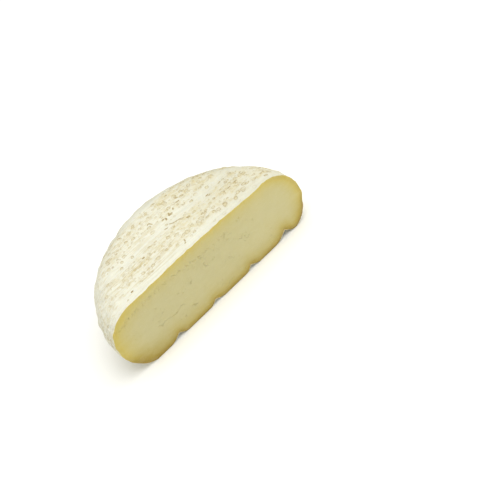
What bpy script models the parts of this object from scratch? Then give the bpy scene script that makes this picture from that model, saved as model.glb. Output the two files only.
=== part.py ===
"""Half of a small soft-ripened cheese wheel, cut straight across and lying on its flat underside.

The cut face looks along -Y, +X runs along the cut, +Z is up. Metres, with the origin under the middle of
the half wheel, on the surface that it rests on.
"""

import math

import bmesh
import bpy
import numpy as np
from mathutils import Vector, noise

# Driving sizes of the wheel
DIAMETER = 0.140
RADIUS = DIAMETER / 2
LEFT_HEIGHT = 0.0441
RIGHT_HEIGHT = 0.0420
TAPER_FROM = -0.015
TAPER_TO = 0.052
DOME = 0.0006

# The rounded rim: how far in its curve starts, and the share of the height at which it is widest
LEFT_SHOULDER = 0.0190
RIGHT_SHOULDER = 0.0160
LEFT_WAIST = 0.57
RIGHT_WAIST = 0.54

# How far the cheese's own weight presses its underside flat
PRESSED_FLAT = 0.0004

# Creases that the ripening rack pressed into the underside, square to the cut
UNDER_CREASE_FIRST_X = -0.0358
UNDER_CREASE_PITCH = 0.0283
UNDER_CREASE_DEPTHS = (0.0034, 0.0025, 0.0030, 0.0042)
UNDER_CREASE_LEFT_REACHES = (0.0050, 0.0036, 0.0028, 0.0056)
UNDER_CREASE_RIGHT_REACHES = (0.0034, 0.0044, 0.0040, 0.0036)

# The same rack's shallow troughs in the top, along the cut
TOP_TROUGH_FIRST_Y = 0.0030
TOP_TROUGH_PITCH = 0.0270
TOP_TROUGH_DEPTHS = (0.0007, 0.0010, 0.0008)
TOP_TROUGH_REACH = 0.0050

# How sharply a crease or trough ends, and the share of its depth that counts as nothing
CREASE_SHARPNESS = 1.4
CREASE_FLOOR = 0.05

# Unevenness of the rind and of the cut
WAVE_LENGTH = 0.024
WAVE_HEIGHT = 0.0006
CRAG_LENGTH = 0.0075
CRAG_HEIGHT = 0.00035
UNDER_DENT_HEIGHT = 0.0009
UNDER_DENT_FROM = 0.25
CREASE_WANDER = 0.0011

# The cut: how far its edge is rolled back, how wide the roll is, and how far the paste swells
CUT_EDGE_ROLL = 0.0005
CUT_EDGE_WIDTH = 0.0030
CUT_SWELL = 0.0004

# How finely the skin is divided: stations along X, and steps round each cross-section
STATIONS = 74
UPPER_STEPS = 27
CUT_STEPS = 13
LOWER_STEPS = 27
DENSE = 400

RIND_COLOUR = (0.86, 0.82, 0.66, 1.0)
PASTE_COLOUR = (0.62, 0.53, 0.25, 1.0)


def clear_scene():
    """Removes whatever objects the file holds."""
    for old in list(bpy.data.objects):
        bpy.data.objects.remove(old)


def material(name, colour, roughness):
    """A plain Principled material."""
    made = bpy.data.materials.new(name)
    made.use_nodes = True
    shader = made.node_tree.nodes["Principled BSDF"]
    shader.inputs["Base Color"].default_value = colour
    shader.inputs["Roughness"].default_value = roughness
    shader.inputs["Metallic"].default_value = 0.0
    return made


def smooth(low, high, value):
    """0 below low, 1 above high, and an eased step between them."""
    share = np.clip((value - low) / (high - low), 0.0, 1.0)
    return share * share * (3 - 2 * share)


def across(left, right, x):
    """A size that changes evenly from the wheel's left end to its right end."""
    share = (x + RADIUS) / DIAMETER
    return left + (right - left) * share


def height_at(x):
    """The wheel's height, which falls off towards the right."""
    return LEFT_HEIGHT + (RIGHT_HEIGHT - LEFT_HEIGHT) * smooth(TAPER_FROM, TAPER_TO, x)


def waist_at(x):
    """How high above the underside the rim is widest."""
    return height_at(x) * across(LEFT_WAIST, RIGHT_WAIST, x)


def section(x, top):
    """The rind's line at station x from the rim's widest point in to the cut: depths behind it and heights.

    top is True for the upper half of the section and False for the lower one.
    """
    shoulder = across(LEFT_SHOULDER, RIGHT_SHOULDER, x)
    flat_radius = RADIUS - shoulder
    start = math.asin(np.clip((abs(x) - flat_radius) / shoulder, 0.0, 1.0))
    lean = np.linspace(math.pi / 2, start, DENSE)
    reach = flat_radius + shoulder * np.sin(lean)
    depth = np.sqrt(np.maximum(reach**2 - x**2, 0.0))
    waist = waist_at(x)
    rise = height_at(x) - waist if top else -waist
    level = waist + rise * np.cos(lean)
    if depth[-1] > 0:
        inner = np.linspace(depth[-1], 0.0, DENSE)[1:]
        depth = np.append(depth, inner)
        level = np.append(level, np.full(inner.shape, level[-1]))
    return depth, level


def evenly(depth, level, steps):
    """The line divided into equal lengths."""
    length = np.concatenate([[0.0], np.cumsum(np.hypot(np.diff(depth), np.diff(level)))])
    places = np.linspace(0.0, length[-1], steps + 1)
    return np.interp(places, length, depth), np.interp(places, length, level)


def under_crease_places():
    """The X of each crease in the underside."""
    count = len(UNDER_CREASE_DEPTHS)
    return UNDER_CREASE_FIRST_X + UNDER_CREASE_PITCH * np.arange(count)


def station_places():
    """The X of each cross-section, evenly spaced over the rind's skin, with one on each crease."""
    lean = np.linspace(0.0, math.pi / 2, DENSE)
    left_flat = RADIUS - LEFT_SHOULDER
    right_flat = RADIUS - RIGHT_SHOULDER
    left_rise = LEFT_HEIGHT * (1 - LEFT_WAIST)
    right_rise = RIGHT_HEIGHT * (1 - RIGHT_WAIST)
    x = np.concatenate([
        -left_flat - LEFT_SHOULDER * np.sin(lean[::-1]),
        right_flat + RIGHT_SHOULDER * np.sin(lean),
    ])
    z = np.concatenate([left_rise * np.cos(lean[::-1]), right_rise * np.cos(lean)])
    places, _ = evenly(x, z, STATIONS)
    for crease in under_crease_places():
        places[np.argmin(np.abs(places - crease))] = crease
    return places


def trench(distance, low_reach, high_reach):
    """1 in the middle of a crease, falling to 0 on both sides, by the signed distance from it."""
    reach = low_reach if distance < 0 else high_reach
    fall = math.exp(-((abs(distance) / reach) ** CREASE_SHARPNESS))
    return max(0.0, fall - CREASE_FLOOR) / (1 - CREASE_FLOOR)


def under_lift(x, y):
    """How far the underside is pressed up at this place, never below the surface that it rests on."""
    lift = 0.0
    wander = CREASE_WANDER * noise.noise(Vector((0.0, y / WAVE_LENGTH, 3.0)))
    for number, place in enumerate(under_crease_places()):
        left_reach = UNDER_CREASE_LEFT_REACHES[number]
        right_reach = UNDER_CREASE_RIGHT_REACHES[number]
        shape = trench(x - place - wander, left_reach, right_reach)
        lift = max(lift, UNDER_CREASE_DEPTHS[number] * shape)
    dent = noise.noise(Vector((x / WAVE_LENGTH, y / WAVE_LENGTH, 7.0))) - UNDER_DENT_FROM
    return lift + UNDER_DENT_HEIGHT * max(0.0, dent)


def top_sink(x, y):
    """How far the top is pressed down at this place."""
    sink = 0.0
    wander = 2 * CREASE_WANDER * noise.noise(Vector((x / WAVE_LENGTH, 0.0, 5.0)))
    for number, depth in enumerate(TOP_TROUGH_DEPTHS):
        place = TOP_TROUGH_FIRST_Y + number * TOP_TROUGH_PITCH
        sink = max(sink, depth * trench(y - place - wander, TOP_TROUGH_REACH, TOP_TROUGH_REACH))
    return sink


def roughness_at(x, y, z):
    """The rind's waves and crags at this place, outwards."""
    wave = noise.noise(Vector((x, y, z)) / WAVE_LENGTH)
    crag = noise.noise(Vector((x, y, z)) / CRAG_LENGTH + Vector((11.0, 0.0, 0.0)))
    return WAVE_HEIGHT * wave + CRAG_HEIGHT * crag


def set_back(x, level, border):
    """How far behind the knife's plane the cut lies, by the distance from its nearest edge.

    Its edge is rolled back, least along the top, and the paste inside is a little swollen.
    """
    near_top = smooth(0.6, 1.0, level / height_at(x))
    roll = CUT_EDGE_ROLL * (1 - 0.6 * near_top) * (1 - smooth(0.0, CUT_EDGE_WIDTH, border))
    swell = CUT_SWELL * noise.noise(Vector((x, 0.0, level)) / WAVE_LENGTH)
    return roll + swell * smooth(0.0, 2 * CUT_EDGE_WIDTH, border)


def rind_point(x, depth, level):
    """A point of the rind, with its creases, troughs, dome and unevenness."""
    waist = waist_at(x)
    height = height_at(x)
    if level < waist:
        underness = 1.0 - smooth(0.0, 0.45, level / waist)
        lift = underness * under_lift(x, depth)
        outwards = 1.0 - underness
        upness = 0.0
    else:
        upness = smooth(0.0, 1.0, (level - waist) / (height - waist))
        edge = math.hypot(x, depth) / RADIUS
        lift = upness * (DOME * (1 - edge**2) - top_sink(x, depth))
        outwards = 1.0
    swell = outwards * roughness_at(x, depth, level)
    flat = Vector((x, depth, 0.0))
    aside = flat.normalized() * (1 - upness) if flat.length > 0 else Vector()
    up = Vector((0.0, 0.0, upness))
    back = Vector((0.0, set_back(x, level, 0.0) * math.exp(-depth / CUT_EDGE_WIDTH), 0.0))
    point = Vector((x, depth, level + lift)) + (aside + up) * swell + back
    point.z = max(point.z, PRESSED_FLAT)
    return point


def cut_line(top, bottom):
    """Points down the cut from its top edge to its bottom edge, closer together near both."""
    line = []
    for step in range(CUT_STEPS + 1):
        even = 1 - step / CUT_STEPS
        eased = 0.5 + 0.5 * math.cos(math.pi * step / CUT_STEPS)
        point = bottom.lerp(top, (even + eased) / 2)
        border = min(top.z - point.z, point.z - bottom.z, RADIUS - abs(point.x))
        if 0 < step < CUT_STEPS:
            point.y = set_back(point.x, point.z, border)
        line.append(point)
    return line


def ring_points(x):
    """One cross-section, from the rim's widest point over the top, down the cut and back along the underside."""
    upper = evenly(*section(x, True), UPPER_STEPS)
    lower = evenly(*section(x, False), LOWER_STEPS)
    over = [rind_point(x, depth, level) for depth, level in zip(*upper)]
    under = [rind_point(x, depth, level) for depth, level in zip(*lower)]
    return over[:-1] + cut_line(over[-1], under[-1]) + under[-2:0:-1]


def half_wheel():
    """A sphere with its poles on the cut's two ends, each ring of which becomes one cross-section."""
    steps = UPPER_STEPS + CUT_STEPS + LOWER_STEPS
    places = station_places()
    rings = {number: ring_points(places[number]) for number in range(1, STATIONS)}
    made = bmesh.new()
    bmesh.ops.create_uvsphere(made, u_segments=steps, v_segments=STATIONS, radius=1.0)
    on_cut = set()
    for vertex in made.verts:
        # The sphere's latitude says which cross-section a point is on, and its longitude the step round it
        number = round((1 - math.acos(np.clip(vertex.co.z, -1, 1)) / math.pi) * STATIONS)
        turn = math.atan2(vertex.co.y, vertex.co.x) % math.tau
        step = round(turn / math.tau * steps) % steps
        if number in (0, STATIONS):
            x = places[number]
            vertex.co = rind_point(x, 0.0, waist_at(x))
            on_cut.add(vertex)
        else:
            vertex.co = rings[number][step]
            if UPPER_STEPS <= step <= UPPER_STEPS + CUT_STEPS:
                on_cut.add(vertex)
    for face in made.faces:
        face.material_index = int(all(vertex in on_cut for vertex in face.verts))
    return made


def stand_on_origin(made):
    """Moves the shape so that the origin lies under the middle of its box."""
    points = np.array([vertex.co for vertex in made.verts])
    low = points.min(axis=0)
    high = points.max(axis=0)
    middle = (low + high) / 2
    bmesh.ops.translate(made, verts=made.verts, vec=(-middle[0], -middle[1], -low[2]))


def build():
    clear_scene()
    collection = bpy.data.collections.new("cheese_half_wheel")
    bpy.context.scene.collection.children.link(collection)
    shape = half_wheel()
    stand_on_origin(shape)
    mesh = bpy.data.meshes.new("cheese_half")
    shape.to_mesh(mesh)
    shape.free()
    mesh.materials.append(material("rind", RIND_COLOUR, 0.75))
    mesh.materials.append(material("paste", PASTE_COLOUR, 0.42))
    mesh.shade_smooth()
    mesh.set_sharp_from_angle(angle=math.radians(50))
    collection.objects.link(bpy.data.objects.new("cheese_half", mesh))


build()
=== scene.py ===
"""The looks of a half cheese wheel: its pitted rind, the paste on its cut, and a pale studio.

Metres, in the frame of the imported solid: the cut face looks along -Y, +X runs along it, +Z is up.
"""

import math
from types import SimpleNamespace

import bpy
import numpy as np
from mathutils import Matrix, Vector, noise


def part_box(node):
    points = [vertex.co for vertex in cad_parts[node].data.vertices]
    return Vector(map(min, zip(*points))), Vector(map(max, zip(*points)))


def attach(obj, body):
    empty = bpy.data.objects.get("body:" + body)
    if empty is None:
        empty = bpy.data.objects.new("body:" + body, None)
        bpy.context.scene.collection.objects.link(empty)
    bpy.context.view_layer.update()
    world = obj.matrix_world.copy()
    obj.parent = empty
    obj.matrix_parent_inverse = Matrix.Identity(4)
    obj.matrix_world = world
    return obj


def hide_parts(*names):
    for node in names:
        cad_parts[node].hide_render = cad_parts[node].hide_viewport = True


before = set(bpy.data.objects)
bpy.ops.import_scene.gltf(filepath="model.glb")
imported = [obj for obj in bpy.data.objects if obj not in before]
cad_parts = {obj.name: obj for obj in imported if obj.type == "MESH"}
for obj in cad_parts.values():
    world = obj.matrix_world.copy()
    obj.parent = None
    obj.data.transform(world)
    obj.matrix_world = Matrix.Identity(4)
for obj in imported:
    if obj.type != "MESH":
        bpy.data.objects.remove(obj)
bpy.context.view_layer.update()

MILLIMETRE = 0.001
TINY = 1e-9

# Driving sizes of the wheel, as in its solid
DIAMETER = 0.140
RADIUS = DIAMETER / 2
LEFT_HEIGHT = 0.0441
RIGHT_HEIGHT = 0.0420
TAPER_FROM = -0.015
TAPER_TO = 0.052
DOME = 0.0006
LEFT_SHOULDER = 0.0190
RIGHT_SHOULDER = 0.0160
LEFT_WAIST = 0.57
RIGHT_WAIST = 0.54
PRESSED_FLAT = 0.0004
UNDER_CREASE_FIRST_X = -0.0358
UNDER_CREASE_PITCH = 0.0283
UNDER_CREASE_DEPTHS = (0.0034, 0.0025, 0.0030, 0.0042)
UNDER_CREASE_LEFT_REACHES = (0.0050, 0.0036, 0.0028, 0.0056)
UNDER_CREASE_RIGHT_REACHES = (0.0034, 0.0044, 0.0040, 0.0036)
TOP_TROUGH_FIRST_Y = 0.0030
TOP_TROUGH_PITCH = 0.0270
TOP_TROUGH_DEPTHS = (0.0007, 0.0010, 0.0008)
TOP_TROUGH_REACH = 0.0050
CREASE_SHARPNESS = 1.4
CREASE_FLOOR = 0.05
WAVE_LENGTH = 0.024
WAVE_HEIGHT = 0.0006
CRAG_LENGTH = 0.0075
CRAG_HEIGHT = 0.00035
UNDER_DENT_HEIGHT = 0.0009
UNDER_DENT_FROM = 0.25
CREASE_WANDER = 0.0011
CUT_EDGE_ROLL = 0.0005
CUT_EDGE_WIDTH = 0.0030
CUT_SWELL = 0.0004

# Fine relief that the solid leaves out: the length and the height of each kind of bump
BUMPS = ((0.0034, 0.00020), (0.0016, 0.00010))
RIM_BUMP_LENGTH = 0.0048
RIM_BUMP_HEIGHT = 0.00070
STREAK_LENGTH = 0.030
STREAK_WIDTH = 0.0022
STREAK_HEIGHT = 0.00012
UNDER_BUMP_LENGTH = 0.0030
UNDER_BUMP_HEIGHT = 0.00015
CUT_BUMPS = ((0.0060, 0.00010), (0.0022, 0.00004))

# Where the underside and the top begin, and how the cut's edge and its fine marks fade
UNDERSIDE_SHARE = 0.45
TOP_FROM = 0.8
TOP_ROLL_FROM = 0.6
TOP_ROLL_LOSS = 0.6
CUT_BUMP_FADE = 0.001

# Where the white mould is thin: in bands between the troughs, less at the left end and on the far rim
ZONE_LENGTH = 0.011
SMALL_ZONE_LENGTH = 0.0042
SMALL_ZONE_STRETCH = 1.8
BAND_FADE = (0.10, 0.85)
BAND_UNEVENNESS = 0.22
LEFT_END = (-0.062, -0.030)
LEFT_UNEVENNESS = 0.012
LEFT_END_TAN = 0.35
FAR_RIM = (0.052, 0.068)
FAR_RIM_STOPS = (-0.045, -0.020)
FAR_RIM_LOSS = 0.6
RIM_TAN = 0.72
RIM_UNEVENNESS = 0.45
CREASE_FADE = (0.15, 0.6)

# Small patches everywhere. They and the small marks are stronger from here along X to the right.
RIGHT_SIDE = (0.0, 0.035)
PATCHINESS = 0.35
WHITE_PATCHINESS = 0.3
MORE_PATCHINESS = 0.45
MORE_TAN = 0.10
MOST_MORE_TAN = 0.3

# The painted shade of the far rim, which turns away from the light: where it begins, as shares of the radius,
# along Y and along X
SHADED_RIM = (0.70, 0.97)
SHADED_RIM_UNEVENNESS = 0.03
SHADED_RIM_BACK = (0.022, 0.045)
SHADED_RIM_RIGHT = (-0.055, -0.015)

# How finely the skin is divided, how many of the outline's points are compared at once,
# and the angle from which an edge stays sharp
STATIONS = 350
UPPER_STEPS = 186
CUT_STEPS = 46
LOWER_STEPS = 52
DENSE = 400
OUTLINE_PART = 40
SHARP_ANGLE = math.radians(60)

# The camera: where the photograph was taken from, as seen from the half wheel, and the picture's turn
PICTURE = 480
AZIMUTH = math.radians(-14.87)
ELEVATION = math.radians(39.90)
ROLL = math.radians(33.99)
DISTANCE = 1.0
FOCAL_PIXELS = 1731.5
SENSOR = 0.036
NEAREST = 0.05
FARTHEST = 20.0
AIM_HEIGHT = 0.021
AIM_RIGHT = 0.03558
AIM_UP = 0.00377

# The way from the wheel's own axes, where the cut is at Y = 0, to the solid's frame, and how much
# a point has to belong to the top and to face the camera, so that a pixel can show it
TO_FRAME = (0.0, -DIAMETER / 4, 0.0)
SEEN_UPNESS = 0.02
SEEN_LEAN = 0.05

# Marks that stand out on the rind. Each row begins with the pixel of the photograph where the mark is.
# Rings: radius in millimetres
RINGS = (
    (224.5, 203.5, 1.5), (209.6, 202.2, 1.0), (205.0, 211.9, 1.0), (242.8, 188.0, 1.6), (253.1, 178.5, 1.1),
    (261.2, 169.6, 0.9), (239.1, 173.7, 1.0), (211.4, 176.1, 1.2), (191.3, 200.1, 1.0), (180.0, 183.3, 1.3),
    (141.1, 216.4, 1.1), (145.5, 212.4, 1.0), (151.9, 204.6, 1.0), (132.2, 227.4, 1.1), (118.3, 238.3, 1.0),
    (131.7, 256.4, 1.0), (121.6, 261.7, 1.0), (107.3, 284.4, 1.3), (101.3, 291.3, 1.0), (106.1, 296.4, 1.1),
    (142.8, 272.8, 1.2), (148.3, 268.4, 1.1), (152.9, 264.6, 1.2), (158.2, 257.0, 1.3), (166.7, 248.6, 0.9),
    (170.0, 244.8, 0.9), (182.7, 190.0, 1.0), (188.3, 190.5, 0.9), (158.3, 203.7, 0.9), (158.3, 208.5, 1.0),
    (152.5, 208.8, 0.9), (206.7, 186.3, 1.1), (221.7, 191.3, 1.2), (235.8, 197.0, 1.2), (199.2, 223.0, 1.4),
    (192.0, 224.2, 1.0), (121.7, 268.0, 1.1), (123.3, 256.3, 1.2), (134.2, 269.2, 0.9), (123.3, 280.0, 0.9),
    (115.0, 252.5, 1.0), (110.0, 258.3, 1.0), (228.8, 174.2, 1.0), (125.8, 241.7, 1.0),
)
# Spots and cracks: length and width in millimetres, turn in degrees, and darkness
SPOTS = (
    (132.1, 290.7, 2.2, 1.0, 10, 0.85), (143.3, 257.1, 1.8, 1.5, 0, 0.65),
    (206.4, 194.3, 2.0, 1.3, 0, 0.6), (168.4, 213.2, 2.9, 1.0, 62, 0.6),
    (170.7, 213.4, 3.0, 1.2, 14, 0.65), (172.4, 208.0, 2.2, 0.9, 57, 0.5),
    (163.0, 218.9, 2.2, 1.2, -15, 0.6), (165.9, 218.5, 2.2, 1.2, 75, 0.7),
    (166.1, 227.8, 2.6, 1.2, -17, 0.4), (171.9, 222.2, 4.6, 0.9, -40, 0.45),
    (177.2, 219.7, 3.6, 0.9, -11, 0.4), (179.4, 218.0, 2.4, 0.9, -75, 0.3),
    (188.2, 216.2, 2.6, 1.6, -30, 0.28), (186.4, 232.2, 3.0, 1.0, -34, 0.28),
    (184.2, 239.8, 2.9, 0.9, 74, 0.45), (184.7, 242.1, 1.6, 0.9, 35, 0.4),
    (175.4, 197.2, 1.8, 1.5, -23, 0.3), (180.9, 195.2, 2.8, 1.0, -32, 0.3),
    (177.2, 200.9, 3.0, 1.2, -10, 0.28), (165.3, 194.6, 1.8, 1.1, -12, 0.35),
    (152.3, 203.9, 2.0, 1.0, -29, 0.3), (158.8, 203.6, 2.4, 1.1, -30, 0.22),
    (147.6, 223.9, 2.0, 0.9, 29, 0.3), (150.2, 223.1, 3.0, 0.9, -70, 0.3),
    (224.5, 203.5, 3.0, 2.8, 0, 0.1), (238.1, 191.5, 3.0, 1.4, 0, 0.16),
    (222.5, 191.3, 2.6, 1.6, -20, 0.16), (239.4, 174.4, 2.8, 1.6, 0, 0.14),
    (265.6, 174.4, 2.6, 1.4, 0, 0.16), (218.8, 181.9, 2.2, 1.5, 30, 0.16),
    (246.3, 182.5, 2.4, 1.5, 0, 0.1), (234.4, 181.9, 2.0, 1.3, 20, 0.12),
    (228.8, 186.3, 2.2, 1.3, 0, 0.1),
)
# Patches where the white mould is thin: radius in millimetres
PATCHES = (
    (180.0, 226.0, 4.5), (128.0, 276.0, 3.0), (137.5, 267.0, 3.0), (108.0, 322.0, 3.5), (196.0, 178.0, 3.0),
    (165.0, 195.0, 2.5), (160.0, 201.0, 2.5), (190.0, 212.0, 4.0), (262.0, 172.0, 3.5), (112.0, 300.0, 3.0),
    (160.0, 245.0, 3.0), (147.0, 262.0, 3.0),
)
PATCH_STRENGTH = 0.65
PATCH_STRETCH = 1.6

# Pits: sizes in metres. The lip, the bowl and the reach of a pit's mark are shares of its radius.
SEED = 11
PIT_COUNT = 900
PIT_RADII = (0.00040, 0.0012)
PIT_DEPTH = 0.00022
PIT_LIP = 0.00008
PIT_LIP_PLACE = 1.2
PIT_LIP_WIDTH = 0.25
PIT_BOWL = (0.45, 1.0)
PIT_UNEVENNESS = 0.18
PIT_WAVE_LENGTH = 0.0012
PIT_STRETCH = 0.5
UNMARKED = 2.0

# How many pits white mould and the underside have beside tan rind, and how strong pits and rings are
PIT_CHANCE_ON_WHITE = 0.04
PIT_CHANCE_UNDER = 0.25
PIT_STRENGTH_LEAST = 0.20
PIT_STRENGTH_SPREAD = 0.90
PIT_STRENGTH_SKEW = 1.8
RING_STRENGTH_LEAST = 0.54
RING_STRENGTH_SPREAD = 0.66
RING_STRETCH = 1.05

# A spot's noted strength is this plus its darkness, which tells it from a pit
SPOT_STRENGTH = 2.0
SPOT_BEND = 0.25
SPOT_BOWL = (0.5, 1.2)
SPOT_UNEVENNESS = 0.25
SPOT_WAVE_LENGTH = 0.0011

# The uneven top edge of the cut
EDGE_SCALLOPS = ((0.0050, 0.00036), (0.0019, 0.00016))
EDGE_SCALLOP_REACH = 0.0040

# Colours of the rind
WHITE_MOULD = (0.768, 0.760, 0.632, 1.0)
GREY_MOULD = (0.660, 0.645, 0.505, 1.0)
TAN_RIND = (0.660, 0.595, 0.370, 1.0)
OCHRE_RIND = (0.560, 0.465, 0.235, 1.0)
# The far rim's painted shade, multiplied into the rind's colour where the rim turns away from the light
RIM_SHADE = (0.80, 0.79, 0.75, 1.0)
PIT_FLOOR = (0.580, 0.490, 0.240, 1.0)
PIT_WALL = (0.370, 0.275, 0.120, 1.0)
BROWN_MARK = (0.280, 0.180, 0.060, 1.0)

# Lengths of the rind's patterns in metres, and how X is scaled where they are drawn out along the cut
RIND_STRETCH = 0.75
MOTTLE_LENGTH = 0.0036
SPECKLE_LENGTH = 0.0011
GRAIN_LENGTH = 0.00050
CLOUD_LENGTH = 0.0120
BREAK_LENGTH = 0.0016
BRUSH_LENGTH = 0.0015
BRUSH_STRETCH = 0.06
DASH_LENGTH = 0.0014
DASH_STRETCH = 0.17
SCORE_LENGTH = 0.0012
SCORE_STRETCH = 0.045

# Small rings and loops: how far apart, the ring's radius as a share of that, and how the cells are bent
SMALL_RING_SPACING = 0.0023
SMALL_RING_RADIUS = 0.27
SMALL_RING_WARP = (0.0011, 0.0010)
LOOP_SPACING = 0.0052
LOOP_RADIUS = 0.22
LOOP_WARP = (0.0006, 0.0016)

# Where along X the rind changes: greyer to the right, partly grey mould and partly painted shade where the
# light falls off, less brushed to the right, and more marked there
GREY_AND_SHADED_SIDE = (-0.010, 0.045)
BRUSHED_SIDE = (-0.030, 0.015)
LEAST_BRUSHED = 0.25
MOST_MARKED = 1.7

# How strongly each layer of the rind covers what lies under it
CLOUD_COVER = 0.6
GREY_STREAK_COVER = 0.40
GREY_AND_SHADED_SIDE_COVER = 0.65
TAN_COVER = 0.78
BRUSHED_COVER = 0.75
DASH_COVER = 0.62
SCORE_COVER = 0.35
# The troughs' painted shade
CREASE_SHADE_COVER = 0.40
OCHRE_COVER = 0.76
GRAIN_COVER = 0.40
SPECKLE_COVER = 0.35
SMALL_FILL_COVER = 0.25
SMALL_RING_COVER = 0.44
LOOP_FILL_COVER = 0.18
LOOP_COVER = 0.42
PIT_FILL_COVER = 0.42
PIT_WALL_COVER = 0.66
SPOT_COVER = 0.95

# A pressed pit's colours: its wall's place as a share of its radius, how frayed it is, and its most strength
WALL_PLACE = 0.86
FRAYED = 0.14
STRONGEST_PIT = 1.3

# Heights of the rind's finest relief, and its roughness
MOTTLE_RELIEF = 0.00032
SPECKLE_RELIEF = 0.00022
BRUSH_RELIEF = 0.00018
GRAIN_RELIEF = 0.00008
SMALL_PIT_RELIEF = 0.00010
RIND_ROUGHNESS = (0.78, 0.92)

# Colours of the paste
CORE_PASTE = (0.563, 0.513, 0.264, 1.0)
# A lit copy of the paste, for the painted light on its right side
PAINTED_LIT_PASTE = (0.700, 0.630, 0.320, 1.0)
DRY_PASTE = (0.700, 0.660, 0.420, 1.0)
PASTE_FLECK = (0.780, 0.740, 0.520, 1.0)
YELLOW_PASTE = (0.590, 0.470, 0.088, 1.0)
OCHRE_TINT = (0.53, 0.43, 0.10, 1.0)
CUT_RIND = (0.680, 0.600, 0.380, 1.0)

# The yellow band along the rind: its reach in millimetres, and where along X it is wider
YELLOW_REACH = 4.5
MOST_YELLOW = 0.90
UNEVEN_BAND = 0.4
PASTE_CLOUD_LENGTH = 0.0140
BOTH_ENDS = (0.040, 0.064)
WIDER_AT_ENDS = 1.5
LEFT_YELLOW = (-0.066, -0.040)
LEFT_YELLOW_TIMES = 1.7

# The ochre band above the underside, partly ripe paste and partly painted shade, strongest at the left end:
# its reach in millimetres, the heights over which it ends, where along X it is wider, and how much yellower
# it is
RIPE_SHADE_REACH = 3.2
RIPE_SHADE_BELOW = (0.007, 0.020)
LEFT_RIPE_SHADE = (-0.062, -0.034)
LEFT_RIPE_SHADE_TIMES = 3.0
RIPE_SHADE_YELLOW_SIDE = (-0.040, -0.010)
RIPE_SHADE_YELLOW = (0.25, 0.50)

# The paste's paler right side, which is painted light, and the tint along its right end
PAINTED_LIT_SIDE = (0.005, 0.045)
PAINTED_LIT_COVER = 0.18
RIGHT_RIM = (0.050, 0.063)
RIGHT_RIM_TINT = 0.27

# The rind's thin line round the cut: in the creases and below a height it is this many millimetres thick
THICK_BELOW = (0.004, 0.008)
THICK_LINE = 0.70
RIND_LINE_COVER = 0.85

# The knife's drag, flecks and torn crumbs: lengths in metres, how X is scaled, and from how many
# millimetres off the rind crumbs are torn
DRAG_LENGTH = 0.0032
DRAG_STRETCH = 0.5
FLECK_LENGTH = 0.0009
CRUMB_LENGTH = 0.0016
CRUMB_STRETCH = 0.7
CRUMBLY_LENGTH = 0.0090
CRUMBS_FROM = (3.0, 7.0)

# The row of dents that the knife left below the top edge: its height, its bend and the bend's length
DENT_ROW_HEIGHT = 0.0358
DENT_ROW_BEND = 0.0023
DENT_ROW_LENGTH = 0.016
DENT_ROW_CREST_X = -0.036
DENT_ROW_FADE = (0.0003, 0.0013)
DENT_ROW_STOPS = (0.0, 0.030)
DENT_LENGTH = 0.0011
DENT_STRETCH = 0.8
DENT_SHARE = 0.75

# Two cracks in the paste: where each begins and ends along X, its height there, and its slope
LONG_CRACK = (-0.045, -0.023, 0.0164, 0.02)
SHORT_CRACK = (-0.024, -0.016, 0.0128, -0.28)
CRACK_WAVE_LENGTH = 0.0050
CRACK_WANDER = 0.0016
CRACK_FADE = (0.00008, 0.00035)
CRACK_TAPER = 0.003
CRACK_GAP_LENGTH = 0.0030

# How strongly each mark covers the paste, the heights of its finest relief, and its roughness
DRY_COVER = 0.12
FLECK_COVER = 0.14
TORN_COVER = 0.20
SUNK_COVER = 0.15
DRAG_RELIEF = 0.00020
TORN_RELIEF = 0.00038
SUNK_RELIEF = 0.00048
FLECK_RELIEF = 0.00007
PASTE_ROUGHNESS = (0.42, 0.55)

# The studio: a floor, and each light's place, size and watts
FLOOR_HALF = 3.0
FLOOR_LEVEL = -0.0002
FLOOR_COLOUR = (0.96, 0.955, 0.91, 1.0)
ROOM_STRENGTH = 0.53
KEY_LIGHT = ((0.30, -0.26, 1.2), 1.5, 16.5)
FILL_LIGHT = ((-0.90, 0.50, 0.35), 1.0, 1.8)


def smooth(low, high, value):
    """0 below low, 1 above high, and an eased step between them."""
    share = np.clip((value - low) / (high - low), 0.0, 1.0)
    return share * share * (3 - 2 * share)


def noisy(points, length, shift=(0.0, 0.0, 0.0)):
    """Smooth noise from -1 to 1 at each point, in waves about this long."""
    return np.array([noise.noise(place) for place in (points / length + np.array(shift)).tolist()])


def stack(x, y, z):
    """Points from their coordinates, any of which may be a single number."""
    return np.stack(np.broadcast_arrays(np.asarray(x, float), y, z), axis=-1)


def across(left, right, x):
    """A size that changes evenly from the wheel's left end to its right end."""
    return left + (right - left) * (x + RADIUS) / DIAMETER


def height_at(x):
    """The wheel's height, which falls off towards the right."""
    return LEFT_HEIGHT + (RIGHT_HEIGHT - LEFT_HEIGHT) * smooth(TAPER_FROM, TAPER_TO, x)


def waist_at(x):
    """How high above the underside the rim is widest."""
    return height_at(x) * across(LEFT_WAIST, RIGHT_WAIST, x)


def section(x, top):
    """The rind's line at station x, from the rim's widest point in to the cut: depths and heights."""
    shoulder = across(LEFT_SHOULDER, RIGHT_SHOULDER, x)
    flat_radius = RADIUS - shoulder
    start = math.asin(np.clip((abs(x) - flat_radius) / shoulder, 0.0, 1.0))
    lean = np.linspace(math.pi / 2, start, DENSE)
    reach = flat_radius + shoulder * np.sin(lean)
    depth = np.sqrt(np.maximum(reach**2 - x**2, 0.0))
    waist = waist_at(x)
    rise = height_at(x) - waist if top else -waist
    level = waist + rise * np.cos(lean)
    if depth[-1] > 0:
        inner = np.linspace(depth[-1], 0.0, DENSE)[1:]
        depth = np.append(depth, inner)
        level = np.append(level, np.full(inner.shape, level[-1]))
    return depth, level


def evenly(depth, level, steps):
    """The line divided into equal lengths."""
    length = np.concatenate([[0.0], np.cumsum(np.hypot(np.diff(depth), np.diff(level)))])
    places = np.linspace(0.0, length[-1], steps + 1)
    return np.interp(places, length, depth), np.interp(places, length, level)


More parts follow.
